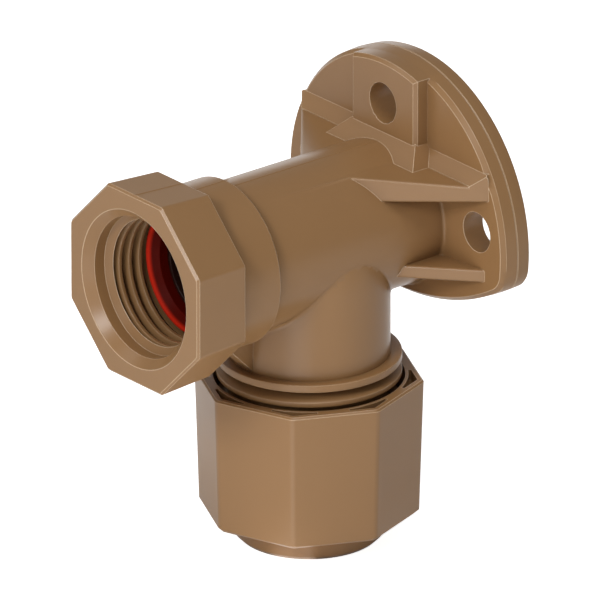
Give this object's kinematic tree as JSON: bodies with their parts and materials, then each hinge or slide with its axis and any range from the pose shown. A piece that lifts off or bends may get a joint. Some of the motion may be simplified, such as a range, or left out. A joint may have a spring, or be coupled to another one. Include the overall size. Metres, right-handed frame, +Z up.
{
  "type": "wall plate elbow",
  "caption": "Plastic pipe elbow with a screw-on wall plate, an octagonal internal-thread outlet facing the room and a compression nut for a pipe from below.",
  "frame": {"origin": "where the outlet axis meets the wall, on the back face of the plate", "axes": "+Z up, +Y into the wall, -Y out of the outlet, the pipe leaves along -Z"},
  "size_m": [0.0484, 0.053, 0.0696],
  "materials": {
    "elbow_plastic": "semi-gloss brown moulded plastic",
    "nut_plastic": "semi-gloss brown moulded plastic",
    "grip_plastic": "off-white hard plastic",
    "ring_plastic": "black plastic",
    "black_rubber": "black rubber",
    "red_rubber": "dark red rubber"
  },
  "bodies": {
    "elbow": {"elbow_body": "elbow_plastic", "outlet_seal": "red_rubber", "pipe_seal": "black_rubber"},
    "clamp_rings": {"pressure_ring": "ring_plastic", "grip_ring": "grip_plastic"},
    "nut": {"compression_nut": "nut_plastic"}
  },
  "joints": [
    {"name": "ring_travel", "type": "slide", "parent": "elbow", "child": "clamp_rings", "axis": [0, 0, 1], "range_m": [-0.00697, 0.00233]},
    {"name": "nut_turn", "type": "hinge", "parent": "clamp_rings", "child": "nut", "pos_m": [0, -0.02085, -0.032], "axis": [0, 0, 1], "range_deg": [-1080, 360]}
  ],
  "couplings": [
    {"joint": "ring_travel", "follows": "nut_turn", "m_per_rad": 0.00036924}
  ]
}
